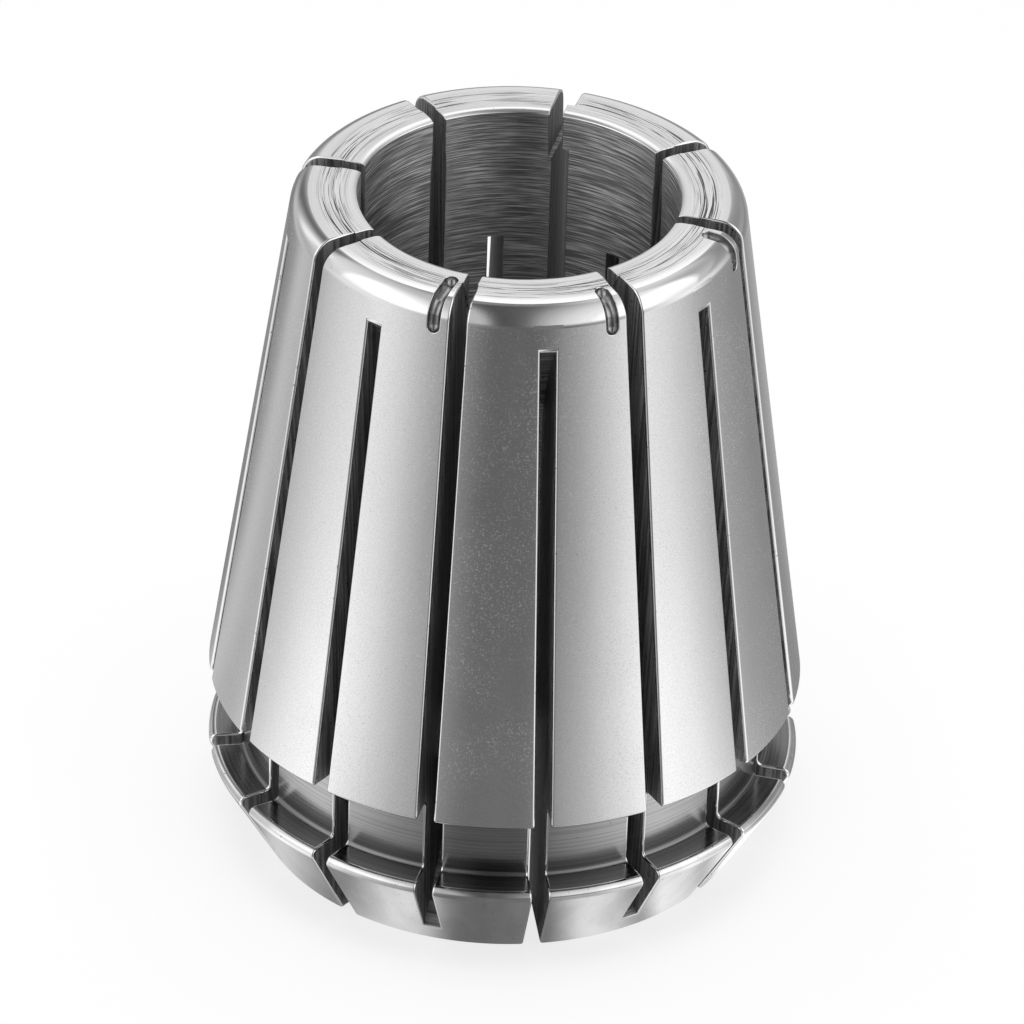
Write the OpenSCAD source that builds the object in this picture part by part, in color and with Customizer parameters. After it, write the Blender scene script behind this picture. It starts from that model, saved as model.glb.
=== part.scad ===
// Spring collet with an 8 degree seating taper, slotted in turn from both ends.
// It stands on its front face, with the axis along +Z and the small rear end up.

/* [Body] */
// Length from the front face to the rear face
body_len = 40; // [36:0.5:46]
// Largest diameter of the seating taper, at its lower edge
taper_d = 33; // [32:0.1:36]
// Angle between the seating taper and the axis
taper_angle = 8; // [7:0.5:8.5]
// Height of the taper's lower edge above the front face
taper_start = 9.6; // [8.6:0.1:11]
// Radius of the rounded rear edge
rear_round = 1.35; // [1.1:0.05:1.8]
// Diameter of the flat rear face, inside the rounded edge
rear_face_d = 22.8; // [22:0.1:23.2]
// How far down from the rear face the rounded edge meets the taper
rear_round_drop = 1.05; // [0.9:0.05:1.2]

/* [Nose] */
// Diameter of the collar that the clamping nut pulls on
collar_d = 32.9; // [32:0.1:34]
// Angle between the nose cone and the axis
nose_angle = 30; // [25:1:32]
// Height of the nose cone
nose_h = 4.8; // [4:0.1:5.4]
// Width of the straight land round the collar
collar_land = 0.5; // [0.2:0.1:1]
// Diameter at the bottom of the nut groove
groove_d = 29.2; // [28:0.1:30]
// Fillet radius in the corners of the nut groove
groove_fillet = 0.3; // [0.1:0.05:0.6]

/* [Bore] */
// Diameter of the clamping bore
bore_d = 17.5; // [14:0.1:18]
// Chamfer at the rear mouth of the bore
rear_chamfer = 0.2; // [0.1:0.05:0.4]
// Chamfer at the front mouth of the bore
front_chamfer = 0.6; // [0.2:0.1:1]

/* [Slots] */
// Number of slots cut from each end
slot_count = 8; // [4:1:8]
// Width of a slot
slot_w = 0.92; // [0.6:0.02:1.2]
// Diameter of the slotting saw
saw_d = 40; // [30:1:50]
// How far the saw passes through the wall into the bore
saw_overrun = 1.75; // [1:0.05:2.5]
// Metal left on the taper behind each slot from the front
rear_land = 2.35; // [1.8:0.05:4]
// Metal left on the nose cone below each slot from the rear
front_land = 1.2; // [0.8:0.1:2]
// Width of the thin cut that opens the slots at the rear
opening_w = 0.75; // [0.4:0.05:0.9]
// Height of that thin cut on the wall of the bore
opening_h = 2.2; // [1:0.1:4]

/* [Notches] */
// Width of a notch across the rear edge
notch_w = 0.72; // [0.5:0.02:0.9]
// Depth of a notch, square to the surface
notch_depth = 0.45; // [0.2:0.05:0.6]
// How far a notch runs down from the rear face
notch_drop = 1.85; // [1.6:0.05:2.4]
// How far the long notch runs in over the rear face
long_notch_reach = 1.9; // [1.2:0.1:2]
// How far the two short notches run in over the rear face
short_notch_reach = 0.9; // [0.6:0.1:1.1]
// Angle from a notch to the rear slot beside it
notch_angle = 6.2; // [5:0.1:9]

/* [Hidden] */
$fn = 96;
steel = [0.74, 0.75, 0.77];
past = 1; // how far a cut runs out past the metal
bore_r = bore_d / 2;
groove_r = groove_d / 2;
collar_r = collar_d / 2;
collar_top = nose_h + collar_land;
slot_pitch = 360 / slot_count;
front_slot_turn = -90; // the first slot from the front faces -Y
rear_slot_turn = front_slot_turn + slot_pitch / 2;
saw_r = saw_d / 2;
saw_axis_r = bore_r - saw_overrun + saw_r;
front_slot_end = body_len - rear_land;
rear_face_r = rear_face_d / 2;
round_end = body_len - rear_round_drop;

// Radius of the seating taper, and of the nose cone, at height z
function taper_r(z) = taper_d / 2 - (z - taper_start) * tan(taper_angle);
function nose_r(z) = collar_r - (nose_h - z) * tan(nose_angle);

// How far above its own centre the saw cuts at radius r
function saw_rise(r) = sqrt(saw_r ^ 2 - (saw_axis_r - r) ^ 2);

// Centre of the rounded rear edge, which runs from the flat face to the taper
function round_centre() =
    let (face_end = [rear_face_r, body_len], taper_end = [taper_r(round_end), round_end])
    let (chord = taper_end - face_end)
    let (inward = [chord.y, -chord.x] / norm(chord))
    (face_end + taper_end) / 2 + inward * sqrt(rear_round ^ 2 - (norm(chord) / 2) ^ 2);

// The point p of the rear edge's outline, moved in by inset towards the centre of the rounding
function inset_point(p, inset) = p + (round_centre() - p) * inset / rear_round;

// Section of the tapered end with its rounded rear edge, made smaller all round by inset
module taper_section(inset) {
    face_end = inset_point([rear_face_r, body_len], inset);
    taper_end = inset_point([taper_r(round_end), round_end], inset);
    corner_x = taper_end.x - (face_end.y - taper_end.y) * tan(taper_angle);
    difference() {
        polygon([
            [0, taper_start],
            [taper_end.x + (taper_end.y - taper_start) * tan(taper_angle), taper_start],
            [corner_x, face_end.y],
            [0, face_end.y],
        ]);
        difference() {
            polygon([
                face_end,
                [face_end.x, face_end.y + past],
                [corner_x + past, face_end.y + past],
                [corner_x + past, taper_end.y],
                taper_end,
            ]);
            translate(round_centre()) circle(rear_round - inset);
        }
    }
}

module nose_section() {
    polygon([
        [0, 0],
        [nose_r(0), 0],
        [collar_r, nose_h],
        [collar_r, collar_top],
        [0, collar_top],
    ]);
}

// The waist at the bottom of the nut groove, with a fillet in each corner
module groove_section() {
    groove_w = taper_start - collar_top;
    difference() {
        translate([0, collar_top]) square([groove_r + groove_fillet, groove_w]);
        translate([groove_r, collar_top + groove_fillet])
            square([groove_fillet + past, groove_w - 2 * groove_fillet]);
        for (z = [collar_top + groove_fillet, taper_start - groove_fillet])
            translate([groove_r + groove_fillet, z]) circle(groove_fillet);
    }
}

module bore_section() {
    translate([0, -past]) square([bore_r, body_len + 2 * past]);
    polygon([
        [0, -past],
        [bore_r + front_chamfer + past, -past],
        [bore_r, front_chamfer],
        [0, front_chamfer],
    ]);
    polygon([
        [0, body_len + past],
        [bore_r + rear_chamfer + past, body_len + past],
        [bore_r, body_len - rear_chamfer],
        [0, body_len - rear_chamfer],
    ]);
}

module turned_body() {
    rotate_extrude() difference() {
        union() {
            nose_section();
            groove_section();
            taper_section(0);
        }
        bore_section();
    }
}

// One pass of the saw through the wall at +X, its centre moving from z_low to z_high
module saw_cut(z_low, z_high, width) {
    for (z = [z_low, z_high])
        translate([saw_axis_r, width / 2, z]) rotate([90, 0, 0]) cylinder(h = width, r = saw_r);
    translate([saw_axis_r - saw_r, -width / 2, z_low]) cube([2 * saw_r, width, z_high - z_low]);
}

module front_slot() {
    z_high = front_slot_end - saw_rise(taper_r(front_slot_end));
    saw_cut(-past, z_high, slot_w);
}

// The saw stops short of the bore's rear mouth, and a thinner cut opens what is left
module rear_slot() {
    z_low = front_land + saw_rise(nose_r(front_land));
    z_high = body_len - opening_h - saw_rise(bore_r);
    saw_cut(z_low, z_high, slot_w);
    translate([bore_r - saw_overrun, -opening_w / 2, z_high])
        cube([taper_d / 2, opening_w, body_len - z_high + past]);
}

// A round-ended cut over the rear edge, with its floor level below the surface
module notch(reach) {
    face_r = rear_face_r - reach;
    run = taper_r(body_len - notch_drop) - face_r;
    notch_len = norm([run, notch_drop]);
    difference() {
        translate([face_r, 0, body_len]) rotate([0, atan2(notch_drop, run), 0])
            linear_extrude(4 * rear_round, center = true) {
                translate([notch_w / 2, -notch_w / 2]) square([notch_len - notch_w, notch_w]);
                for (x = [notch_w / 2, notch_len - notch_w / 2]) translate([x, 0]) circle(notch_w / 2);
            }
        rotate_extrude() taper_section(notch_depth);
    }
}

module collet() {
    color(steel) difference() {
        turned_body();
        for (i = [0 : slot_count - 1]) {
            rotate(front_slot_turn + i * slot_pitch) front_slot();
            rotate(rear_slot_turn + i * slot_pitch) rear_slot();
        }
        for (i = [-1 : 1])
            rotate(rear_slot_turn + i * slot_pitch - notch_angle)
                notch(i == -1 ? long_notch_reach : short_notch_reach);
    }
}

collet();
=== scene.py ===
import bmesh
import bpy
import math
from mathutils import Matrix, Vector


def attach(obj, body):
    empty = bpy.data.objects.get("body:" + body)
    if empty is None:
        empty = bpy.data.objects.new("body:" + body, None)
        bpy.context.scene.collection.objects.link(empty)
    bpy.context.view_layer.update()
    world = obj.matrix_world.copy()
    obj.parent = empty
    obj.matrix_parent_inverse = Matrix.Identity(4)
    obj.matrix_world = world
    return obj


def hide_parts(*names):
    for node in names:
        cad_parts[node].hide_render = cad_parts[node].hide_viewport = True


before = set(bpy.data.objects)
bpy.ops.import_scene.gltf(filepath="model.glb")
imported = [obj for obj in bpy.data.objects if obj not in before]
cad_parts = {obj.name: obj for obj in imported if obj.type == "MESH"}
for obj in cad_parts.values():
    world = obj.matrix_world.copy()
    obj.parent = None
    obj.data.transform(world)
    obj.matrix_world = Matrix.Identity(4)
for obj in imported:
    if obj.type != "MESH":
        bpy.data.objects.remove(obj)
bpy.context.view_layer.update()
print("er collet: frame loaded")

mm = 0.001  # the collet is modelled in millimetres and brought to metres at the end

body = {
    "length": 40.0,
    "taperRadius": 16.5,       # at the taper's lower edge
    "taperStart": 9.6,
    "taperAngle": 8.0,
    "boreRadius": 8.75,
    "frontChamfer": 0.6,
    "boreRoll": (0.5, 0.11),   # the rear face's rolled inner edge, width and drop
    "faceRoll": (0.8, 0.05),   # and its outer edge
    "noseAngle": 30.0,
    "collarTop": 5.3,
    "collarRadius": 16.45,     # its largest, which the nose cone reaches
    "collarDrop": 0.5,         # this far under the collar's upper face
    "grooveRadius": 14.6,
    "frontRound": 0.2,
    "collarRound": 0.4,        # rounds off the corner, down to that radius
    "grooveRound": 0.3,
    "taperRound": 0.24,
    "rearFaceRadius": 11.4,    # the flat rear face, inside the rounded edge
    "rearRoundDrop": 1.05,
    "rearRound": 1.35,
    "arcStep": 9.0,            # degrees between the points of an arc, roughly
    "slotPitch": 22.5,         # from a slot of one end to the next of the other
    "slotMargin": 3.75,        # no column of the mesh lies this close to a slot's middle
    "columns": 8,              # columns between two slots
    "upright": 0.1,            # a wall is upright where its normal rises less than this
}
edges = {
    "slotRound": 0.13,         # the round left by deburring
    "taperEdge": 0.2,          # the larger one along the taper
    "taperEnds": (0.6, 1.9),   # which ends this far from the taper's foot and from the rear face
    "fineRound": 0.05,         # and the smaller one in the bore and on the thin cuts and notches
    "reach": 0.1,              # an edge this near the taper or the bore lies on it
    "segments": 4,
    "merge": 0.01,             # places nearer than this are one
    "places": 5,               # decimals of a millimetre that count as a place
    "sharpest": 30.0,          # edges that turn less than this stay as they are
    "smooth": 35.0,            # and those that turn less than this are shaded smooth
    "level": 0.9999,           # a face lies flat where its normal stands this upright
}
saw = {
    "radius": 20.0,
    "overrun": 1.75,           # how far the saw comes through into the bore
    "vertices": 128,
    "past": 1.0,               # how far a cut runs on outside the metal
    "frontWidths": (0.96, 0.84),   # slots from the front, at the mouth and at the end
    "rearWidths": (0.94, 0.9),
    "rearLand": 2.35,          # the slots from the front stop this far under the rear face
    "frontLand": 1.2,          # and those from the rear this far over the front face
    "openingWidth": 0.75,      # the thin cut that opens the rear slots
    "openingHeight": 2.2,
    "openingOverlap": 0.6,     # how far it runs on into the slot below
    "openingMargin": 1.0,      # edges down to this far below it are finely rounded too
    "thinReach": 10.5,         # edges nearer the bore than this belong to the thin cut
    "stepWidth": 0.12,
    "openingTurns": (0, 0, 0, 1.9, 0, 0, 0, 0),    # one of them is out of line, in degrees
}
notches = {
    "width": 0.74,
    "depth": 0.45,
    "drop": 1.85,              # how far they run down below the rear face
    "angle": 6.2,              # before the slot beside it
    "reaches": (1.9, 0.9, 0.9),    # inwards over the rear face
    "sides": 16,
    "turns": 8,
}
slope = math.tan(math.radians(body["taperAngle"]))
coneSlope = math.tan(math.radians(body["noseAngle"]))
collarCorner = body["collarRadius"] + body["collarDrop"] * coneSlope  # the cone's reach at the collar's top
thinCutStart = body["length"] - saw["openingHeight"] - saw["openingMargin"]
sawAxis = body["boreRadius"] - saw["overrun"] + saw["radius"]  # how far out the saw's own axis lies


def taperAt(z):
    return body["taperRadius"] - (z - body["taperStart"]) * slope


def noseAt(z):
    return collarCorner - (body["collarTop"] - z) * coneSlope


arcs = []  # centre, radius and side of every arc in the outline, for the normals


def arc(centre, start, end, side=1):
    first = math.atan2(start.y - centre.y, start.x - centre.x)
    last = math.atan2(end.y - centre.y, end.x - centre.x)
    turn = (last - first + math.pi) % (2 * math.pi) - math.pi
    radius = (start - centre).length
    arcs.append((centre, radius, side))
    steps = max(2, round(abs(math.degrees(turn)) / body["arcStep"]))
    angles = [first + turn * i / steps for i in range(steps + 1)]
    return [centre + radius * Vector((math.cos(a), math.sin(a))) for a in angles]


def roundCorner(before, corner, after, radius, side=1):
    back, ahead = (before - corner).normalized(), (after - corner).normalized()
    half = back.angle(ahead) / 2
    reach = radius / math.tan(half)
    centre = corner + (back + ahead).normalized() * radius / math.sin(half)
    return arc(centre, corner + back * reach, corner + ahead * reach, side)


def roundedEdge():
    faceEnd = Vector((body["rearFaceRadius"], body["length"] - body["faceRoll"][1]))
    roundEnd = body["length"] - body["rearRoundDrop"]
    taperEnd = Vector((taperAt(roundEnd), roundEnd))
    chord = taperEnd - faceEnd
    inward = Vector((chord.y, -chord.x)).normalized()
    reach = math.sqrt(body["rearRound"] ** 2 - (chord.length / 2) ** 2)
    return (faceEnd + taperEnd) / 2 + inward * reach, faceEnd, taperEnd


def roll(edge, side, width, drop):
    # the rear face bends down a little towards its edges
    radius = (width ** 2 + drop ** 2) / (2 * drop)
    flat = Vector((edge + side * width, body["length"]))
    return arc(flat - Vector((0, radius)), Vector((edge, body["length"] - drop)), flat)


def taperEnds():
    # between these heights the slots' edges along the taper are more rounded
    return body["taperStart"] + edges["taperEnds"][0], body["length"] - edges["taperEnds"][1]


def outline():
    bore, groove, top = body["boreRadius"], body["grooveRadius"], body["collarTop"]
    middle, faceEnd, taperEnd = roundedEdge()
    chamfer = Vector((bore + body["frontChamfer"], 0.0))
    front, collar = Vector((noseAt(0.0), 0.0)), Vector((noseAt(top), top))
    low, high = Vector((groove, top)), Vector((groove, body["taperStart"]))
    foot = Vector((body["taperRadius"], body["taperStart"]))
    points = [Vector((bore, body["frontChamfer"])), chamfer]
    points += roundCorner(chamfer, front, collar, body["frontRound"])
    points += roundCorner(front, collar, low, body["collarRound"])
    points += roundCorner(collar, low, high, body["grooveRound"], -1)
    points += roundCorner(low, high, foot, body["grooveRound"], -1)
    points += roundCorner(high, foot, taperEnd, body["taperRound"])
    points += [Vector((taperAt(z), z)) for z in taperEnds()]
    points += arc(middle, taperEnd, faceEnd)
    points += roll(body["rearFaceRadius"], -1, *body["faceRoll"])[1:]
    points += reversed(roll(bore, 1, *body["boreRoll"]))
    points += [Vector((bore, thinCutStart))]
    return points


def startPiece(name):
    piece = bpy.context.object
    piece.name = name
    bpy.ops.object.transform_apply(location=True, rotation=True, scale=True)
    return piece


def pickOnly(piece):
    bpy.ops.object.select_all(action="DESELECT")
    bpy.context.view_layer.objects.active = piece
    piece.select_set(True)


def selectVerts(piece, test):
    mesh = bmesh.from_edit_mesh(piece.data)
    bpy.ops.mesh.select_mode(type="VERT")
    for vert in mesh.verts:
        vert.select_set(test(vert.co))
    mesh.select_flush_mode()
    bmesh.update_edit_mesh(piece.data)


def turnBlank():
    points = outline()
    bpy.ops.object.select_all(action="DESELECT")
    bpy.ops.mesh.primitive_plane_add(size=1.0, location=(0, 0, 0))
    blank = startPiece("spring_collet")
    bpy.ops.object.mode_set(mode="EDIT")
    bpy.ops.mesh.select_mode(type="VERT")
    bpy.ops.mesh.select_all(action="SELECT")
    bpy.ops.mesh.merge(type="CENTER")
    bpy.ops.transform.translate(value=(points[0].x, 0, points[0].y))
    for here, there in zip(points, points[1:]):
        step = there - here
        bpy.ops.mesh.extrude_region_move(TRANSFORM_OT_translate={"value": (step.x, 0, step.y)})
    first, last = points[0], points[-1]
    ends = [Vector((first.x, 0, first.y)), Vector((last.x, 0, last.y))]
    selectVerts(blank, lambda co: min((co - end).length for end in ends) < mm)
    bpy.ops.mesh.edge_face_add()
    bpy.ops.mesh.select_all(action="SELECT")
    between = body["slotPitch"] - 2 * body["slotMargin"]
    for sector in range(round(360 / body["slotPitch"])):
        for angle, steps in ((body["slotMargin"], 1), (between, body["columns"]), (body["slotMargin"], 1)):
            bpy.ops.mesh.spin(steps=steps, angle=math.radians(angle), center=(0, 0, 0), axis=(0, 0, 1))
    bpy.ops.mesh.select_all(action="SELECT")
    bpy.ops.mesh.remove_doubles(threshold=mm)
    bpy.ops.mesh.normals_make_consistent(inside=False)
    bpy.ops.object.mode_set(mode="OBJECT")
    return blank


def sawReach(radius):
    # how far along the collet the saw's rim runs on past its axis, at this radius
    return math.sqrt(saw["radius"] ** 2 - (sawAxis - radius) ** 2)


def sawCutter(name, low, high, widths):
    bpy.ops.object.select_all(action="DESELECT")
    bpy.ops.mesh.primitive_cylinder_add(vertices=saw["vertices"], radius=saw["radius"], depth=widths[1],
                                        location=(sawAxis, 0, high), rotation=(math.radians(90), 0, 0))
    cutter = startPiece(name)
    bpy.ops.object.mode_set(mode="EDIT")
    selectVerts(cutter, lambda co: co.z < high - mm)
    bpy.ops.transform.translate(value=(0, 0, low - high))
    bpy.ops.transform.resize(value=(1, widths[0] / widths[1], 1), center_override=(0, 0, 0))
    bpy.ops.object.mode_set(mode="OBJECT")
    return cutter


def turnSelected(degrees, axis, centre):
    # without a window the operator turns the other way
    bpy.ops.transform.rotate(value=-math.radians(degrees), orient_axis=axis, center_override=centre)


def copyRound(cutter, firstAngle, count, pitch):
    pickOnly(cutter)
    bpy.ops.object.mode_set(mode="EDIT")
    bpy.ops.mesh.select_all(action="SELECT")
    turnSelected(firstAngle, "Z", (0, 0, 0))
    bpy.ops.mesh.spin(steps=count - 1, dupli=True, angle=math.radians(pitch * (count - 1)),
                      center=(0, 0, 0), axis=(0, 0, 1))
    bpy.ops.object.mode_set(mode="OBJECT")


def notchCutter(name, reach):
    middle, faceEnd, taperEnd = roundedEdge()
    radius = notches["width"] / 2
    under = notches["depth"] - radius  # how deep the middle of the tube lies
    first = faceEnd + (middle - faceEnd).normalized() * under
    last = taperEnd + (middle - taperEnd).normalized() * under
    start = Vector((faceEnd.x - reach + radius, body["length"] - under))
    bottom = body["length"] - notches["drop"] + radius
    bpy.ops.object.select_all(action="DESELECT")
    sides = notches["sides"]
    bpy.ops.mesh.primitive_uv_sphere_add(segments=sides, ring_count=sides // 2, radius=radius,
                                         location=(start.x, 0, start.y), rotation=(0, math.radians(90), 0))
    cutter = startPiece(name)
    bpy.ops.object.mode_set(mode="EDIT")
    mesh = bmesh.from_edit_mesh(cutter.data)
    bpy.ops.mesh.select_mode(type="FACE")
    for face in mesh.faces:
        face.select_set(face.calc_center_median().x > start.x)
    bmesh.update_edit_mesh(cutter.data)
    step = first - start
    bpy.ops.mesh.extrude_region_move(TRANSFORM_OT_translate={"value": (step.x, 0, step.y)})
    arcTurn = math.degrees((faceEnd - middle).angle(taperEnd - middle))
    faceTurn = 90 - math.degrees(math.atan2(faceEnd.y - middle.y, faceEnd.x - middle.x))
    turnSelected(faceTurn, "Y", (first.x, 0, first.y))
    for i in range(notches["turns"]):
        bpy.ops.mesh.extrude_region_move(TRANSFORM_OT_translate={"value": (0, 0, 0)})
        turnSelected(arcTurn / notches["turns"], "Y", (middle.x, 0, middle.y))
    turnSelected(90 - body["taperAngle"] - faceTurn - arcTurn, "Y", (last.x, 0, last.y))
    drop = last.y - bottom
    bpy.ops.mesh.extrude_region_move(TRANSFORM_OT_translate={"value": (drop * slope, 0, -drop)})
    bpy.ops.object.mode_set(mode="OBJECT")
    return cutter


def putInOrder(piece):
    # a cut leaves corners and faces in any order, so they get a fixed one and every run is the same
    mesh = piece.data
    places = [tuple(round(value, edges["places"]) for value in vertex.co) for vertex in mesh.vertices]
    order = {place: index for index, place in enumerate(sorted(set(places)))}
    faces = []
    for face in mesh.polygons:
        corners = [order[places[index]] for index in face.vertices]
        corners = [corner for index, corner in enumerate(corners) if corner != corners[index - 1]]
        if len(corners) > 2:
            first = corners.index(min(corners))
            faces.append((corners[first:] + corners[:first], face.material_index))
    faces.sort()
    fresh = bpy.data.meshes.new(mesh.name)
    fresh.from_pydata(list(order), [], [corners for corners, finish in faces])
    for material in mesh.materials:
        fresh.materials.append(material)
    for face, (corners, finish) in zip(fresh.polygons, faces):
        face.material_index = finish
    piece.data = fresh


def cutAway(piece, cutter, material):
    cutter.data.materials.clear()
    cutter.data.materials.append(material)
    pickOnly(piece)
    bpy.ops.object.modifier_add(type="BOOLEAN")
    cut = piece.modifiers[-1]
    cut.operation = "DIFFERENCE"
    cut.solver = "EXACT"
    cut.material_mode = "TRANSFER"
    cut.object = cutter
    bpy.ops.object.modifier_apply(modifier=cut.name)
    piece.select_set(False)
    cutter.select_set(True)
    bpy.ops.object.delete()
    putInOrder(piece)


def openingCutter(name, low):
    inner, outer = body["boreRadius"] - saw["past"], body["taperRadius"] + saw["past"]
    bpy.ops.object.select_all(action="DESELECT")
    bpy.ops.mesh.primitive_plane_add(size=1.0, location=((inner + outer) / 2, 0, low))
    cutter = bpy.context.object
    cutter.scale = (outer - inner, saw["openingWidth"], 1)
    cutter = startPiece(name)
    bpy.ops.object.mode_set(mode="EDIT")
    bpy.ops.mesh.select_all(action="SELECT")
    height = body["length"] + saw["past"] - low
    bpy.ops.mesh.extrude_region_move(TRANSFORM_OT_translate={"value": (0, 0, height)})
    bpy.ops.mesh.select_all(action="SELECT")
    bpy.ops.mesh.normals_make_consistent(inside=False)
    bpy.ops.object.mode_set(mode="OBJECT")
    return cutter


finishes = ["groundTaper", "polishedRound", "turnedFace", "groundBore", "turnedGroove", "turnedNose",
            "deburredEdge", "sawnSlot", "filedNotch"]
turnedFinishes = finishes[:6]  # the others are made by the cuts and the rounding


def finishOf(centre, normal):
    radius = math.hypot(centre.x, centre.y)
    inward = normal.x * centre.x + normal.y * centre.y < -mm
    if inward and radius < body["boreRadius"] + body["frontChamfer"]:
        return "groundBore" if abs(normal.z) < body["upright"] else "polishedRound"
    if centre.z > body["length"] - body["rearRoundDrop"]:
        return "polishedRound" if radius > body["rearFaceRadius"] else "turnedFace"
    if centre.z > body["taperStart"] + mm:
        return "groundTaper"
    if centre.z < mm:
        return "turnedFace"
    return "turnedNose" if centre.z < body["collarTop"] - mm else "turnedGroove"


def paintTurned(piece, materials):
    for name in finishes:
        piece.data.materials.append(materials[name])
    for face in piece.data.polygons:
        face.material_index = finishes.index(finishOf(face.center, face.normal))


def cutSlots(piece, material):
    count = round(180 / body["slotPitch"])
    frontEnd = body["length"] - saw["rearLand"]
    rearStart = saw["frontLand"] + sawReach(noseAt(saw["frontLand"]))
    landStart = body["length"] - saw["openingHeight"]
    rearEnd = landStart - sawReach(body["boreRadius"])
    frontTop = frontEnd - sawReach(taperAt(frontEnd))
    fronts = sawCutter("front_saw", -saw["past"], frontTop, saw["frontWidths"])
    rears = sawCutter("rear_saw", rearStart, rearEnd, saw["rearWidths"])
    for cutter, turn in ((fronts, 0), (rears, body["slotPitch"])):
        copyRound(cutter, turn - 90, count, 360 / count)
        cutAway(piece, cutter, material)
    for i, turn in enumerate(saw["openingTurns"]):
        cutter = openingCutter("opening_saw", landStart - saw["openingOverlap"])
        copyRound(cutter, (2 * i + 1) * body["slotPitch"] - 90 + turn, 1, 0)
        cutAway(piece, cutter, material)


def cutNotches(piece, material):
    pitch = body["slotPitch"]
    for i, reach in enumerate(notches["reaches"]):
        cutter = notchCutter("notch_file", reach)
        copyRound(cutter, (2 * i - 1) * pitch - notches["angle"] - 90, 1, 0)
        cutAway(piece, cutter, material)


def placeOf(edge):
    middle = (edge.verts[0].co + edge.verts[1].co) / 2
    return math.hypot(middle.x, middle.y), middle.z


def isThinCut(edge):
    radius, z = placeOf(edge)
    return radius < saw["thinReach"] and z > thinCutStart


def roundOf(edge):
    radius, z = placeOf(edge)
    isNotch = finishes.index("filedNotch") in [face.material_index for face in edge.link_faces]
    if isNotch or isThinCut(edge) or radius < body["boreRadius"] + edges["reach"]:
        return edges["fineRound"]
    low, high = taperEnds()
    onTaper = low < z < high and radius > taperAt(z) - edges["reach"]
    return edges["taperEdge"] if onTaper else edges["slotRound"]


def isSharp(edge):
    # the small steps where a thin cut starts stay as the saw left them
    isBorder = len({face.material_index for face in edge.link_faces}) == 2
    isStep = isThinCut(edge) and edge.calc_length() < saw["stepWidth"]
    return isBorder and not isStep and math.degrees(edge.calc_face_angle_signed(0)) > edges["sharpest"]


def roundEdges(piece):
    pickOnly(piece)
    bpy.ops.object.mode_set(mode="EDIT")
    bpy.ops.mesh.select_all(action="SELECT")
    bpy.ops.mesh.remove_doubles(threshold=edges["merge"])
    mesh = bmesh.from_edit_mesh(piece.data)
    layers = mesh.edges.layers.float
    weights = layers.get("bevel_weight_edge") or layers.new("bevel_weight_edge")
    for edge in mesh.edges:
        edge[weights] = roundOf(edge) / edges["taperEdge"] if isSharp(edge) else 0.0
    bmesh.update_edit_mesh(piece.data)
    bpy.ops.object.mode_set(mode="OBJECT")
    bpy.ops.object.modifier_add(type="BEVEL")
    bevel = piece.modifiers[-1]
    bevel.limit_method = "WEIGHT"
    bevel.width = edges["taperEdge"]
    bevel.segments = edges["segments"]
    bevel.use_clamp_overlap = False
    bevel.material = finishes.index("deburredEdge")
    bpy.ops.object.modifier_apply(modifier=bevel.name)
    bpy.ops.object.mode_set(mode="EDIT")
    selectVerts(piece, lambda co: co.z > body["length"])  # the small rounds stand a hair proud
    bpy.ops.transform.resize(value=(1, 1, 0), center_override=(0, 0, body["length"]))
    bpy.ops.object.mode_set(mode="OBJECT")


def leanOf(face, co):
    # how far the turned surface leans up here, true to the outline's arcs
    middle = Vector((math.hypot(face.center.x, face.center.y), face.center.z))
    place = Vector((math.hypot(co.x, co.y), co.z))
    for centre, radius, side in arcs:
        isOnArc = abs((middle - centre).length - radius) < edges["merge"]
        if isOnArc and abs(face.normal.z) < edges["level"]:
            return side * (place - centre).normalized().y
    return face.normal.z


def trueNormals(piece):
    # the turned faces get the normals of true cones and arcs, and the rounds beside them start from those
    mesh = piece.data
    turnedSlots = [finishes.index(name) for name in turnedFinishes]
    edgeSlot = finishes.index("deburredEdge")
    normals = [corner.vector.copy() for corner in mesh.corner_normals]
    atVertex = {}
    for face in mesh.polygons:
        if face.material_index not in turnedSlots:
            continue
        outward = 1 if face.normal.x * face.center.x + face.normal.y * face.center.y > 0 else -1
        for loop in face.loop_indices:
            index = mesh.loops[loop].vertex_index
            co = mesh.vertices[index].co
            up = leanOf(face, co)
            out = outward * math.sqrt(max(0, 1 - up * up)) / math.hypot(co.x, co.y)
            normals[loop] = Vector((co.x * out, co.y * out, up))
            atVertex.setdefault(index, normals[loop])
    for face in mesh.polygons:
        if face.material_index == edgeSlot:
            for loop in face.loop_indices:
                index = mesh.loops[loop].vertex_index
                if index in atVertex and atVertex[index].angle(face.normal) < math.radians(edges["smooth"]):
                    normals[loop] = atVertex[index]
    mesh.normals_split_custom_set(normals)


def finishMesh(piece):
    pickOnly(piece)
    bpy.ops.object.shade_smooth_by_angle(angle=math.radians(edges["smooth"]))
    bpy.ops.object.modifier_add(type="WEIGHTED_NORMAL")
    weighted = piece.modifiers[-1]
    weighted.keep_sharp = True
    bpy.ops.object.modifier_apply(modifier=weighted.name)
    trueNormals(piece)
    piece.scale = (mm, mm, mm)
    bpy.ops.object.transform_apply(location=True, rotation=True, scale=True)


def put(tree, value, socket):
    if isinstance(value, bpy.types.NodeSocket):
        tree.links.new(value, socket)
    else:
        socket.default_value = value


def calc(tree, operation, *values, clamp=False):
    node = tree.nodes.new("ShaderNodeMath")
    node.operation = operation
    node.use_clamp = clamp
    for value, socket in zip(values, node.inputs):
        put(tree, value, socket)
    return node.outputs[0]


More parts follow.
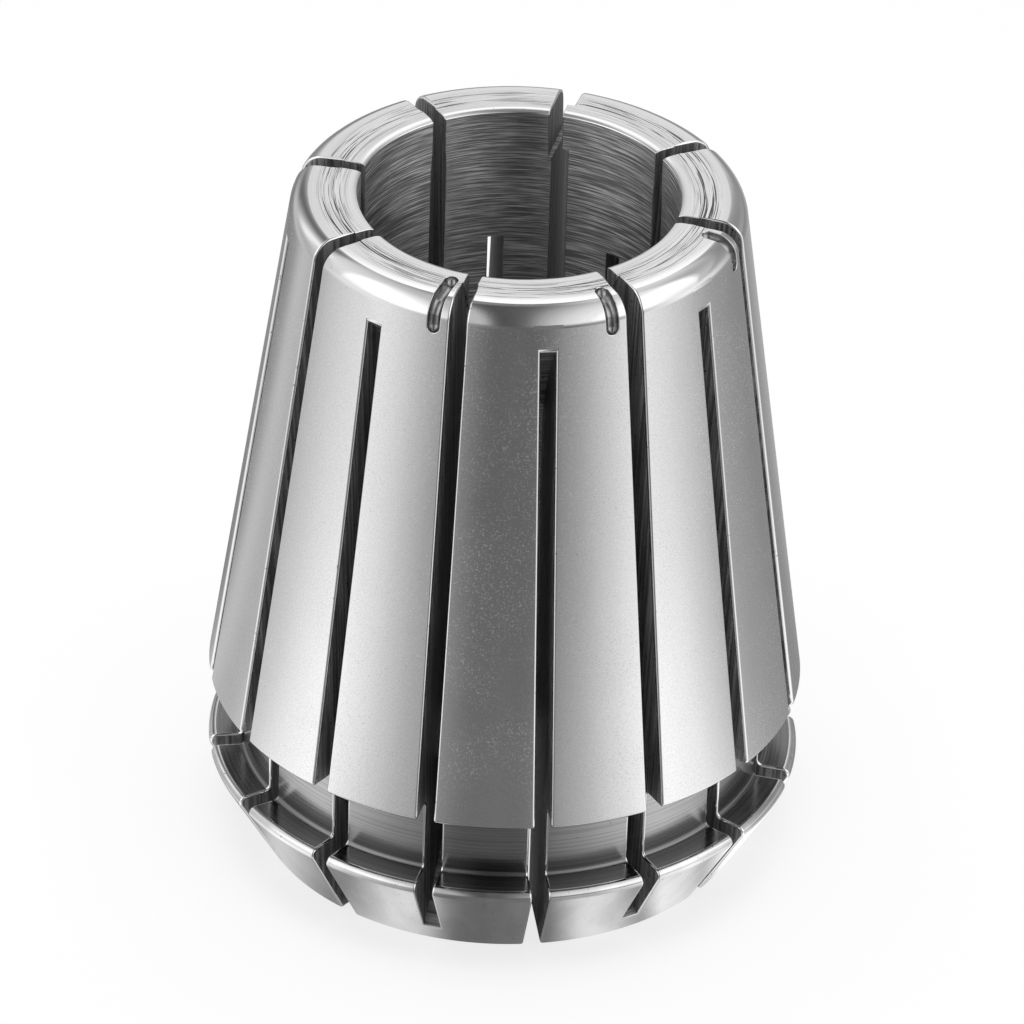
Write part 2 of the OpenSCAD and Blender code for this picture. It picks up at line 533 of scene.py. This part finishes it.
def fade(tree, value, low, high, toLow=0.0, toHigh=1.0):
    node = tree.nodes.new("ShaderNodeMapRange")
    node.interpolation_type = "SMOOTHSTEP"
    for name, number in (("Value", value), ("From Min", low), ("From Max", high), ("To Min", toLow),
                         ("To Max", toHigh)):
        put(tree, number, node.inputs[name])
    return node.outputs[0]


def fadeOver(tree, length, low, high, toLow=0.0, toHigh=1.0):
    # as fade, with its limits in millimetres
    return fade(tree, length, low * mm, high * mm, toLow, toHigh)


def split(tree, vector):
    node = tree.nodes.new("ShaderNodeSeparateXYZ")
    put(tree, vector, node.inputs[0])
    return node.outputs


def combine(tree, x, y, z):
    node = tree.nodes.new("ShaderNodeCombineXYZ")
    for value, socket in zip((x, y, z), node.inputs):
        put(tree, value, socket)
    return node.outputs[0]


def distanceOut(tree, x, y):
    return calc(tree, "SQRT", calc(tree, "ADD", calc(tree, "MULTIPLY", x, x), calc(tree, "MULTIPLY", y, y)))


def inDegrees(tree, operation, *values):
    return calc(tree, "DEGREES", calc(tree, operation, *values))


def mixed(tree, low, high, share):
    return calc(tree, "ADD", calc(tree, "MULTIPLY", low, calc(tree, "SUBTRACT", 1.0, share)),
                calc(tree, "MULTIPLY", high, share))


def noise(tree, vector, scale, detail=2.0, roughness=0.5):
    node = tree.nodes.new("ShaderNodeTexNoise")
    for name, value in (("Vector", vector), ("Scale", scale), ("Detail", detail), ("Roughness", roughness)):
        put(tree, value, node.inputs[name])
    return node.outputs[0]


def startGroup(name, inputs, outputs):
    group = bpy.data.node_groups.new(name, "ShaderNodeTree")
    for socket in inputs:
        kind = "NodeSocketVector" if socket == "Vector" else "NodeSocketFloat"
        group.interface.new_socket(socket, in_out="INPUT", socket_type=kind)
    for socket in outputs:
        group.interface.new_socket(socket, in_out="OUTPUT", socket_type="NodeSocketFloat")
    return group, group.nodes.new("NodeGroupInput").outputs, group.nodes.new("NodeGroupOutput").inputs


def useGroup(tree, group, **values):
    node = tree.nodes.new("ShaderNodeGroup")
    node.node_tree = group
    for name, value in values.items():
        put(tree, value, node.inputs[name])
    return node.outputs[0]


# What the finishes share: how noise is read and how marks start from it
wear = {
    "span": (0.3, 0.7),            # nearly all of a noise lies between these
    "crispness": 0.6,              # how strong a noise's fine parts are
    "specks": (0.78, 0.3, 0.06),   # where no noise is a mark, how far the amount lowers that, the soft rim
    "scratches": (0.8, 0.4, 0.05),
    "blue": 1.01,                  # the metal's grey leans this much to blue
}


def makeToolLines():
    # lines left by a tool that ran round the axis, on any turned surface
    group, given, out = startGroup("toolLines", ["Vector", "Length", "Spacing", "Detail"], ["Lines"])
    x, y, z = split(group, given["Vector"])
    along = calc(group, "SUBTRACT", z, distanceOut(group, x, y))
    place = combine(group, calc(group, "DIVIDE", x, given["Length"]),
                    calc(group, "DIVIDE", y, given["Length"]),
                    calc(group, "DIVIDE", along, given["Spacing"]))
    lines = noise(group, place, 1.0, given["Detail"], wear["crispness"])
    put(group, lines, out["Lines"])
    return group


def marksIn(group, grain, amount, kind):
    none, lowered, rim = wear[kind]
    limit = calc(group, "SUBTRACT", none, calc(group, "MULTIPLY", amount, lowered))
    return fade(group, grain, limit, calc(group, "ADD", limit, rim))


def makeSpecks():
    # sparse marks, as many as Amount says
    group, given, out = startGroup("specks", ["Vector", "Size", "Amount"], ["Specks"])
    scale = calc(group, "DIVIDE", 1.0, given["Size"])
    grain = noise(group, given["Vector"], scale, roughness=wear["crispness"])
    put(group, marksIn(group, grain, given["Amount"], "specks"), out["Specks"])
    return group


def makeScratches():
    # short broken scratches round the axis
    group, given, out = startGroup("scratches", ["Vector", "Length", "Spacing", "Amount"], ["Scratches"])
    lines = useGroup(group, groups["toolLines"], Vector=given["Vector"], Length=given["Length"],
                     Spacing=given["Spacing"], Detail=1.0)
    put(group, marksIn(group, lines, given["Amount"], "scratches"), out["Scratches"])
    return group


def speckled(tree, place, size, amount):
    return useGroup(tree, groups["specks"], Vector=place, Size=size * mm, Amount=amount)


def lined(tree, place, length, spacing, detail=2.0):
    return useGroup(tree, groups["toolLines"], Vector=place, Length=length * mm, Spacing=spacing * mm,
                    Detail=detail)


def startMetal(name):
    material = bpy.data.materials.new(name)
    material.use_nodes = True
    tree = material.node_tree
    shader = tree.nodes["Principled BSDF"]
    shader.inputs["Metallic"].default_value = 1.0
    return material, tree, shader, tree.nodes.new("ShaderNodeTexCoord").outputs["Object"]


def blend(tree, mask, plain, marked):
    mix = tree.nodes.new("ShaderNodeMix")
    mix.data_type = "RGBA"
    put(tree, mask, mix.inputs["Factor"])
    for value, socket in zip((plain, marked), [socket for socket in mix.inputs if socket.type == "RGBA"]):
        isGrey = isinstance(value, float)
        put(tree, (value, value, value * wear["blue"], 1.0) if isGrey else value, socket)
    return [socket for socket in mix.outputs if socket.type == "RGBA"][0]


def addRelief(tree, height, depth, shader):
    bump = tree.nodes.new("ShaderNodeBump")
    bump.inputs["Strength"].default_value = 1.0
    bump.inputs["Distance"].default_value = depth * mm
    put(tree, height, bump.inputs["Height"])
    put(tree, bump.outputs["Normal"], shader.inputs["Normal"])


# Finishes: lengths in millimetres, greys as the metal's own colour, marks as size and amount
taperFinish = {
    "greys": (0.80, 0.90),
    "contrast": (0.25, 0.75),  # where the grain is one grey and where the other
    "dark": 0.5,
    "roughness": (0.10, 0.19),
    "grain": 0.09,
    "depth": 0.0011,
    "specks": (0.12, 0.28),
    "marks": (0.4, 0.08),
    "scuffs": (0.1, 0.7),
    "scuffed": (0.25, 0.5),    # the roughness of the scuffs, between their patches and in them
    "patch": 4.0,
}


def makeGroundTaper():
    look = taperFinish
    material, tree, shader, place = startMetal("groundTaper")
    grain = noise(tree, place, 1 / (look["grain"] * mm))
    colour = blend(tree, fade(tree, grain, *look["contrast"]), *look["greys"])
    for marks in (look["specks"], look["marks"]):
        colour = blend(tree, speckled(tree, place, *marks), colour, look["dark"])
    put(tree, colour, shader.inputs["Base Color"])
    patches = noise(tree, place, 1 / (look["patch"] * mm), detail=3.0)
    scuffed = calc(tree, "MULTIPLY", speckled(tree, place, *look["scuffs"]),
                   fade(tree, patches, *wear["span"], *look["scuffed"]))
    smooth = fade(tree, patches, *wear["span"], *look["roughness"])
    put(tree, calc(tree, "MAXIMUM", smooth, scuffed), shader.inputs["Roughness"])
    addRelief(tree, grain, look["depth"], shader)
    return material


roundFinish = {
    "grey": 0.86,
    "dark": 0.5,
    "roughness": (0.05, 0.11),
    "grain": 0.15,
    "depth": 0.0007,
    "specks": (0.16, 0.28),
}


def makePolishedRound():
    look = roundFinish
    material, tree, shader, place = startMetal("polishedRound")
    grain = noise(tree, place, 1 / (look["grain"] * mm))
    specks = speckled(tree, place, *look["specks"])
    put(tree, blend(tree, specks, look["grey"], look["dark"]), shader.inputs["Base Color"])
    put(tree, fade(tree, grain, *wear["span"], *look["roughness"]), shader.inputs["Roughness"])
    addRelief(tree, grain, look["depth"], shader)
    return material


faceFinish = {
    "greys": (0.66, 0.94),
    "line": (5.0, 0.05),       # length, spacing
    "scratch": (4.0, 0.07),
    "scratchedFrom": (9.2, 10.0),  # the scratches set in between these radii
    "scratchedTo": (10.6, 11.1),   # and end between these
    "amount": 0.62,
    "dark": 0.1,
    "depth": 0.002,
    "roughness": (0.2, 0.32),
    "rim": (10.8, 11.2),       # between these radii the face turns smooth
    "rimRoughness": 0.1,
}


def makeTurnedFace():
    look = faceFinish
    material, tree, shader, place = startMetal("turnedFace")
    x, y = split(tree, place)[:2]
    out = distanceOut(tree, x, y)
    lines = lined(tree, place, *look["line"])
    scratches = useGroup(tree, groups["scratches"], Vector=place, Length=look["scratch"][0] * mm,
                         Spacing=look["scratch"][1] * mm, Amount=look["amount"])
    band = calc(tree, "MULTIPLY", fadeOver(tree, out, *look["scratchedFrom"]),
                fadeOver(tree, out, *look["scratchedTo"], 1.0, 0.0))
    rim = fadeOver(tree, out, *look["rim"])
    colour = blend(tree, fade(tree, lines, *wear["span"]), *look["greys"])
    colour = blend(tree, calc(tree, "MULTIPLY", scratches, band), colour, look["dark"])
    put(tree, blend(tree, rim, colour, roundFinish["grey"]), shader.inputs["Base Color"])
    rough = fade(tree, lines, *wear["span"], *look["roughness"])
    put(tree, mixed(tree, rough, look["rimRoughness"], rim), shader.inputs["Roughness"])
    addRelief(tree, lines, look["depth"], shader)
    return material


boreFinish = {
    "greys": (0.25, 1.0),
    "contrast": (0.4, 0.68),
    "dark": 0.2,
    "cloud": 3.0,
    "clouded": (0.35, 0.7, 0.0, 0.35),  # noise from and to, and how much of the dark that takes on
    "streak": (2.8, 0.07),     # length, spacing
    "depth": 0.011,
    "roughness": 0.55,
    "anisotropic": 0.9,
    "turn": 0.25,              # the light spreads across the grinding lines
}


def makeGroundBore():
    look = boreFinish
    material, tree, shader, place = startMetal("groundBore")
    streaks = lined(tree, place, *look["streak"], detail=3.0)
    clouds = noise(tree, place, 1 / (look["cloud"] * mm))
    colour = blend(tree, fade(tree, streaks, *look["contrast"]), *look["greys"])
    clouded = blend(tree, fade(tree, clouds, *look["clouded"]), colour, look["dark"])
    put(tree, clouded, shader.inputs["Base Color"])
    tangent = tree.nodes.new("ShaderNodeTangent")
    tangent.direction_type = "RADIAL"
    tangent.axis = "Z"
    put(tree, tangent.outputs[0], shader.inputs["Tangent"])
    shader.inputs["Roughness"].default_value = look["roughness"]
    shader.inputs["Anisotropic"].default_value = look["anisotropic"]
    shader.inputs["Anisotropic Rotation"].default_value = look["turn"]
    addRelief(tree, streaks, look["depth"], shader)
    return material


grooveFinish = {
    "greys": (0.35, 0.49),
    "dark": 0.16,
    "paintedShadeUnderTaper": (5.5, 7.2, 0.52, 1.0),  # painted shade under the taper: between these heights it goes from this share of its grey to all
    "line": (14.0, 0.13),      # length, spacing
    "depth": 0.0025,
    "roughness": (0.15, 0.26),
    "pits": (0.22, 0.24),
}


def makeTurnedGroove():
    look = grooveFinish
    material, tree, shader, place = startMetal("turnedGroove")
    lines = lined(tree, place, *look["line"], detail=3.0)
    colour = blend(tree, fade(tree, lines, *wear["span"]), *look["greys"])
    # painted shade: the collar's face and the foot of the groove, under the taper, are darkened
    share = fadeOver(tree, split(tree, place)[2], *look["paintedShadeUnderTaper"])
    colour = blend(tree, share, 0.0, colour)
    pits = speckled(tree, place, *look["pits"])
    put(tree, blend(tree, pits, colour, look["dark"]), shader.inputs["Base Color"])
    put(tree, fade(tree, lines, *wear["span"], *look["roughness"]), shader.inputs["Roughness"])
    addRelief(tree, lines, look["depth"], shader)
    return material


noseFinish = {
    "greys": (0.74, 0.86),
    "contrast": (0.35, 0.65),
    "dark": 0.35,
    "patch": 1.6,              # the width of the lighter and darker patches round the cone
    "squeeze": 0.1,            # a height counts this much, which draws them out up the cone
    "line": (10.0, 0.2),
    "depth": 0.0015,
    "roughness": (0.09, 0.15),
    "pits": (0.16, 0.34),
}


def makeTurnedNose():
    look = noseFinish
    material, tree, shader, place = startMetal("turnedNose")
    x, y, z = split(tree, place)
    squeezed = combine(tree, x, y, calc(tree, "MULTIPLY", z, look["squeeze"]))
    patches = noise(tree, squeezed, 1 / (look["patch"] * mm))
    colour = blend(tree, fade(tree, patches, *look["contrast"]), *look["greys"])
    pits = speckled(tree, place, *look["pits"])
    put(tree, blend(tree, pits, colour, look["dark"]), shader.inputs["Base Color"])
    put(tree, fade(tree, patches, *wear["span"], *look["roughness"]), shader.inputs["Roughness"])
    addRelief(tree, lined(tree, place, *look["line"]), look["depth"], shader)
    return material


edgeFinish = {
    "grey": 0.92,
    "dark": 0.45,
    "nicks": (0.3, 0.34),
    "roughness": (0.12, 0.3),  # beside the nicks and in them
}


def makeDeburredEdge():
    look = edgeFinish
    material, tree, shader, place = startMetal("deburredEdge")
    nicks = speckled(tree, place, *look["nicks"])
    put(tree, blend(tree, nicks, look["grey"], look["dark"]), shader.inputs["Base Color"])
    put(tree, fade(tree, nicks, 0.0, 1.0, *look["roughness"]), shader.inputs["Roughness"])
    return material


slotFinish = {
    "metallic": 0.7,           # the scale left by hardening dulls the metal here
    "greys": (0.2, 0.56),
    "contrast": (0.35, 0.68),
    "dark": 0.06,
    "edgeTint": 0.35,          # how much light the walls throw back when seen along them
    "streak": (9.0, 0.17),     # length, spacing
    "slant": 87.0,             # of the streaks, from level
    "depth": 0.012,
    "roughness": (0.3, 0.5),
    "pits": (0.2, 0.4),
}


def sawMarks(tree, place, length, spacing, slant):
    # streaks up the slots' walls
    x, y, z = split(tree, place)
    out = distanceOut(tree, x, y)
    cosine, sine = math.cos(math.radians(slant)), math.sin(math.radians(slant))
    along = calc(tree, "MULTIPLY_ADD", out, cosine, calc(tree, "MULTIPLY", z, sine))
    across = calc(tree, "MULTIPLY_ADD", out, -sine, calc(tree, "MULTIPLY", z, cosine))
    streaks = combine(tree, calc(tree, "DIVIDE", along, length), calc(tree, "DIVIDE", across, spacing),
                      calc(tree, "DIVIDE", calc(tree, "ADD", x, y), length))
    return noise(tree, streaks, 1.0, detail=3.0, roughness=wear["crispness"])


def makeSawnSlot():
    look = slotFinish
    material, tree, shader, place = startMetal("sawnSlot")
    marks = sawMarks(tree, place, look["streak"][0] * mm, look["streak"][1] * mm, look["slant"])
    colour = blend(tree, fade(tree, marks, *look["contrast"]), *look["greys"])
    pits = speckled(tree, place, *look["pits"])
    put(tree, blend(tree, pits, colour, look["dark"]), shader.inputs["Base Color"])
    put(tree, fade(tree, marks, *wear["span"], *look["roughness"]), shader.inputs["Roughness"])
    shader.inputs["Metallic"].default_value = look["metallic"]
    shader.inputs["Specular Tint"].default_value = (*[look["edgeTint"]] * 3, 1)
    addRelief(tree, marks, look["depth"], shader)
    return material


notchFinish = {
    "greys": (0.3, 0.46),
    "grain": 0.8,
    "depth": 0.003,
    "roughness": 0.22,
}


def makeFiledNotch():
    look = notchFinish
    material, tree, shader, place = startMetal("filedNotch")
    grain = noise(tree, place, 1 / (look["grain"] * mm), detail=3.0)
    put(tree, blend(tree, fade(tree, grain, *wear["span"]), *look["greys"]), shader.inputs["Base Color"])
    shader.inputs["Roughness"].default_value = look["roughness"]
    addRelief(tree, grain, look["depth"], shader)
    return material


# The studio: levels are light as a white card would show it, angles in degrees from the camera's direction
studio = {
    "tentRadius": 400.0,
    "segments": 96,
    "eyeHeight": 39.0,            # where the rear edge stands, which sees the tent
    "outerReach": 60.0,           # the tent's own floor has a ring of corners here
    "innerReach": 13.2,           # and is open inside this, under the collet
    "clearance": 0.02,            # the tent stands this far over the floor
    "brightest": 1.6,             # a ramp's own levels end at 1, so they are scaled by this
    "floor": [(-180, 0.5), (-150, 0.26), (-136, 0.28), (-128, 0.38), (-120, 0.56), (-106, 0.48),
              (-96, 0.56), (-82, 0.8), (-66, 1.08), (-57, 1.06), (-45, 0.8), (-35, 0.54), (-24, 0.36),
              (-14, 0.19), (0, 0.17), (9, 0.19), (17, 0.33), (30, 0.6), (41, 0.9), (52, 1.1), (60, 1.06),
              (70, 0.88), (83, 0.56), (93, 0.41), (113, 0.3), (128, 0.28), (140, 0.35), (152, 0.44),
              (180, 0.5)],
    "far": (45.0, 105.0),         # between these radii the floor turns darker
    "farShare": 0.8,              # down to this share
    "farSide": (70.0, 95.0),      # but not at the sides, beyond these angles
    "drift": (50.0, 80.0, 2.0, 0.05),  # its pattern turns: from where, over what, how much, and per degree
    "near": [(-180, 0.5), (-125, 0.25), (-106, 0.06), (-96, 0.12), (-88, 0.24), (-78, 0.32), (-72, 0.38),
             (-66, 0.63), (-57, 0.6), (-44, 0.31), (-36, 0.38), (-28, 0.7), (-20, 0.74), (-12, 0.28),
             (-4, 0.16), (6, 0.2), (13, 0.26), (21, 0.8), (30, 0.66), (36, 0.42), (41, 0.86), (45, 0.9),
             (52, 0.74), (58, 0.62), (68, 1.25), (76, 1.3), (86, 1.1), (94, 0.4), (104, 0.06),
             (130, 0.15), (180, 0.5)],
    "nearReach": (17.0, 21.0),    # near the foot the floor has a pattern of its own, which ends here
    "ahead": [(-90, 0.8), (-80, 1.0), (-72, 1.15), (-62, 1.28), (-42, 1.28), (-36, 1.06), (-28, 0.74),
              (-22, 0.56), (-14, 0.5), (-9, 0.15), (0, 0.11), (6, 0.2), (10, 0.36), (14, 0.5), (20, 0.7),
              (28, 0.88), (34, 1.0), (39, 1.25), (58, 1.28), (68, 1.15), (78, 0.92), (90, 0.65)],
    "above": [(-90, 0.7), (-60, 0.82), (-44, 0.78), (-30, 0.7), (-22, 0.6), (-16, 0.48), (-12, 0.36),
              (-5, 0.27), (2, 0.26), (6, 0.34), (10, 0.6), (16, 0.74), (24, 0.66), (34, 0.5), (45, 0.44),
              (60, 0.55), (90, 0.6)],
    "behind": [(-90, 0.75), (-62, 0.7), (-52, 1.0), (-44, 0.66), (-34, 0.24), (-24, 0.22), (-15, 0.6),
               (-8, 0.78), (8, 0.8), (15, 0.64), (22, 0.4), (32, 0.3), (48, 0.3), (62, 0.38), (75, 0.48),
               (90, 0.6)],
    "horizon": (0.0, 14.0),       # how far up the floor's light gives way to the tent's
    "toAbove": (98.0, 110.0),     # how far over the tent turns from ahead to above
    "toBehind": (124.0, 132.0),   # and from above to behind
    "overTilt": 0.12,             # and how much that leans towards the sides
    "bandFrom": (121.0, 127.0),   # a brighter strip lights the rear face's front rim from here
    "bandTo": (140.0, 145.0),     # to here
    "bandWidth": (10.0, 20.0),    # and fades out between these angles to the side
    "bandGain": 0.38,
}


def rampOf(tree, degrees, stops):
    first, last = float(stops[0][0]), float(stops[-1][0])
    node = tree.nodes.new("ShaderNodeValToRGB")
    node.color_ramp.interpolation = "CARDINAL"
    points = node.color_ramp.elements
    while len(points) > 1:
        points.remove(points[-1])
    for index, (angle, level) in enumerate(stops):
        position = (angle - first) / (last - first)
        point = points.new(position) if index else points[0]
        point.position = position
        point.color = (*[level / studio["brightest"]] * 3, 1)
    along = calc(tree, "DIVIDE", calc(tree, "SUBTRACT", degrees, first), last - first)
    put(tree, along, node.inputs[0])
    return calc(tree, "MULTIPLY", node.outputs[0], studio["brightest"])


def startStage(name):
    material = bpy.data.materials.new(name)
    material.use_nodes = True
    tree = material.node_tree
    tree.nodes.remove(tree.nodes["Principled BSDF"])
    return material, tree, tree.nodes["Material Output"].inputs["Surface"]


def makeTentLight():
    material, tree, surface = startStage("tentLight")
    x, y, z = split(tree, tree.nodes.new("ShaderNodeTexCoord").outputs["Object"])
    cosine, sine = math.cos(math.radians(camera["turn"])), math.sin(math.radians(camera["turn"]))
    side = calc(tree, "ADD", calc(tree, "MULTIPLY", x, cosine), calc(tree, "MULTIPLY", y, sine))
    ahead = calc(tree, "SUBTRACT", calc(tree, "MULTIPLY", x, sine), calc(tree, "MULTIPLY", y, cosine))
    out = distanceOut(tree, x, y)
    bearing = inDegrees(tree, "ARCTAN2", side, ahead)
    start, reach, turn, perDegree = studio["drift"]
    far = calc(tree, "DIVIDE", calc(tree, "SUBTRACT", out, start * mm), reach * mm)
    drift = calc(tree, "MULTIPLY", far, calc(tree, "MULTIPLY_ADD", bearing, perDegree, turn))
    floor = rampOf(tree, calc(tree, "SUBTRACT", bearing, drift), studio["floor"])
    share = fade(tree, calc(tree, "ABSOLUTE", bearing), *studio["farSide"], studio["farShare"], 1.0)
    floor = calc(tree, "MULTIPLY", floor, fadeOver(tree, out, *studio["far"], 1.0, share))
    low = mixed(tree, rampOf(tree, bearing, studio["near"]), floor,
                fadeOver(tree, out, *studio["nearReach"]))
    height = calc(tree, "SUBTRACT", z, studio["eyeHeight"] * mm)
    distance = distanceOut(tree, out, height)
    across = inDegrees(tree, "ARCSINE", calc(tree, "DIVIDE", side, distance))
    over = inDegrees(tree, "ARCTAN2", height, ahead)
    over = calc(tree, "SUBTRACT", over, calc(tree, "MULTIPLY", across, studio["overTilt"]))
    high = mixed(tree, rampOf(tree, across, studio["ahead"]), rampOf(tree, across, studio["above"]),
                 fade(tree, over, *studio["toAbove"]))
    high = mixed(tree, high, rampOf(tree, across, studio["behind"]), fade(tree, over, *studio["toBehind"]))
    band = calc(tree, "MULTIPLY", fade(tree, over, *studio["bandFrom"], 0.0, studio["bandGain"]),
                fade(tree, over, *studio["bandTo"], 1.0, 0.0))
    band = calc(tree, "MULTIPLY", band,
                fade(tree, calc(tree, "ABSOLUTE", across), *studio["bandWidth"], 1.0, 0.0))
    high = calc(tree, "ADD", high, band)
    lift = inDegrees(tree, "ARCTAN2", height, out)
    level = mixed(tree, low, high, fade(tree, lift, *studio["horizon"]))
    light = tree.nodes.new("ShaderNodeEmission")
    put(tree, level, light.inputs["Strength"])
    put(tree, light.outputs[0], surface)
    return material


def makeTent():
    bpy.ops.object.select_all(action="DESELECT")
    radius, segments = studio["tentRadius"] * mm, studio["segments"]
    bpy.ops.mesh.primitive_uv_sphere_add(segments=segments, ring_count=segments // 2, radius=radius,
                                         location=(0, 0, 0))
    tent = startPiece("light_tent")
    bpy.ops.object.mode_set(mode="EDIT")
    bpy.ops.mesh.select_all(action="SELECT")
    bpy.ops.mesh.bisect(plane_co=(0, 0, 0), plane_no=(0, 0, 1), clear_inner=True)
    selectVerts(tent, lambda co: co.z < mm * mm)
    for reach in (studio["outerReach"], studio["innerReach"]):  # the rim is drawn in over the floor
        bpy.ops.mesh.extrude_region_move(TRANSFORM_OT_translate={"value": (0, 0, 0)})
        now = max(v.co.length for v in bmesh.from_edit_mesh(tent.data).verts if v.select)
        bpy.ops.transform.resize(value=(reach * mm / now, reach * mm / now, 1), center_override=(0, 0, 0))
    bpy.ops.mesh.select_all(action="SELECT")
    bpy.ops.transform.translate(value=(0, 0, studio["clearance"] * mm))
    bpy.ops.object.mode_set(mode="OBJECT")
    tent.data.materials.append(makeTentLight())
    tent.visible_camera = tent.visible_diffuse = tent.visible_shadow = tent.visible_transmission = False


floorLook = {
    "size": 3.0,          # metres, as the lamp's values
    "sides": 96,
    "grey": 0.9,
    "ownLight": 0.78,     # how much of the floor's white doesn't depend on the lamps
    "lampHeight": 0.8,
    "lampSize": 0.6,
    "lampPower": 6.0,
    "sky": 0.3,           # the light from all round that the camera doesn't see
}


def makeFloor():
    bpy.ops.object.select_all(action="DESELECT")
    bpy.ops.mesh.primitive_circle_add(vertices=floorLook["sides"], radius=floorLook["size"],
                                      fill_type="NGON", location=(0, 0, 0))
    floor = startPiece("floor")
    material, tree, surface = startStage("whiteFloor")
    matt = tree.nodes.new("ShaderNodeBsdfDiffuse")
    matt.inputs["Color"].default_value = (*[floorLook["grey"]] * 3, 1)
    light = tree.nodes.new("ShaderNodeEmission")
    mix = tree.nodes.new("ShaderNodeMixShader")
    path = tree.nodes.new("ShaderNodeLightPath")
    put(tree, calc(tree, "MULTIPLY", path.outputs["Is Camera Ray"], floorLook["ownLight"]), mix.inputs[0])
    put(tree, matt.outputs[0], mix.inputs[1])
    put(tree, light.outputs[0], mix.inputs[2])
    put(tree, mix.outputs[0], surface)
    floor.data.materials.append(material)


def makeWorld():
    world = bpy.data.worlds.new("studio")
    bpy.context.scene.world = world
    world.use_nodes = True
    tree = world.node_tree
    path = tree.nodes.new("ShaderNodeLightPath")
    seen = calc(tree, "MAXIMUM", path.outputs["Is Camera Ray"], path.outputs["Is Glossy Ray"])
    background = tree.nodes["Background"]
    background.inputs["Color"].default_value = (1, 1, 1, 1)
    put(tree, calc(tree, "MAXIMUM", seen, floorLook["sky"]), background.inputs["Strength"])


def makeLamp():
    bpy.ops.object.select_all(action="DESELECT")
    bpy.ops.object.light_add(type="AREA", location=(0, 0, floorLook["lampHeight"]))
    lamp = bpy.context.object
    lamp.name = "ceiling_lamp"
    lamp.data.size = floorLook["lampSize"]
    lamp.data.energy = floorLook["lampPower"]
    lamp.visible_glossy = False


camera = {
    "distance": 482.53,
    "height": 20.0,        # of the point that it turns round
    "elevation": 32.82,
    "turn": -8.24,         # the studio's light turns with it
    "lens": 307.93,
    "sensor": 36.0,
    "yaw": -0.017,         # the last three turn the view a little
    "pitch": -0.049,
    "roll": 1.80,
}


def makeCamera():
    turn, tilt = math.radians(camera["turn"]), math.radians(camera["elevation"])
    view = bpy.data.cameras.new("camera")
    view.lens = camera["lens"]
    view.sensor_width = camera["sensor"]
    aim = Matrix.Rotation(turn, 4, "Z") @ Matrix.Rotation(math.pi / 2 - tilt, 4, "X")
    place = Matrix.Translation((0, 0, camera["height"] * mm)) @ aim
    place = place @ Matrix.Translation((0, 0, camera["distance"] * mm))
    for key, axis in (("yaw", "Y"), ("pitch", "X"), ("roll", "Z")):
        place = place @ Matrix.Rotation(math.radians(camera[key]), 4, axis)
    eye = bpy.data.objects.new("camera", view)
    bpy.context.scene.collection.objects.link(eye)
    eye.matrix_world = place
    bpy.context.scene.camera = eye


makeCamera()
makeWorld()
makeLamp()
makeFloor()
makeTent()
bpy.context.scene.view_settings.view_transform = "Standard"
print("er collet: studio ready")

groups = {}
groups["toolLines"] = makeToolLines()
groups["specks"] = makeSpecks()
groups["scratches"] = makeScratches()
materials = {material.name: material for material in (
    makeGroundTaper(), makePolishedRound(), makeTurnedFace(), makeGroundBore(), makeTurnedGroove(),
    makeTurnedNose(), makeDeburredEdge(), makeSawnSlot(), makeFiledNotch())}
print("er collet: finishes ready")

collet = turnBlank()
paintTurned(collet, materials)
print("er collet: blank turned,", len(collet.data.polygons), "faces")
cutSlots(collet, materials["sawnSlot"])
cutNotches(collet, materials["filedNotch"])
roundEdges(collet)
print("er collet: slots and notches cut,", len(collet.data.polygons), "faces")
finishMesh(collet)
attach(collet, "root")
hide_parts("collet")
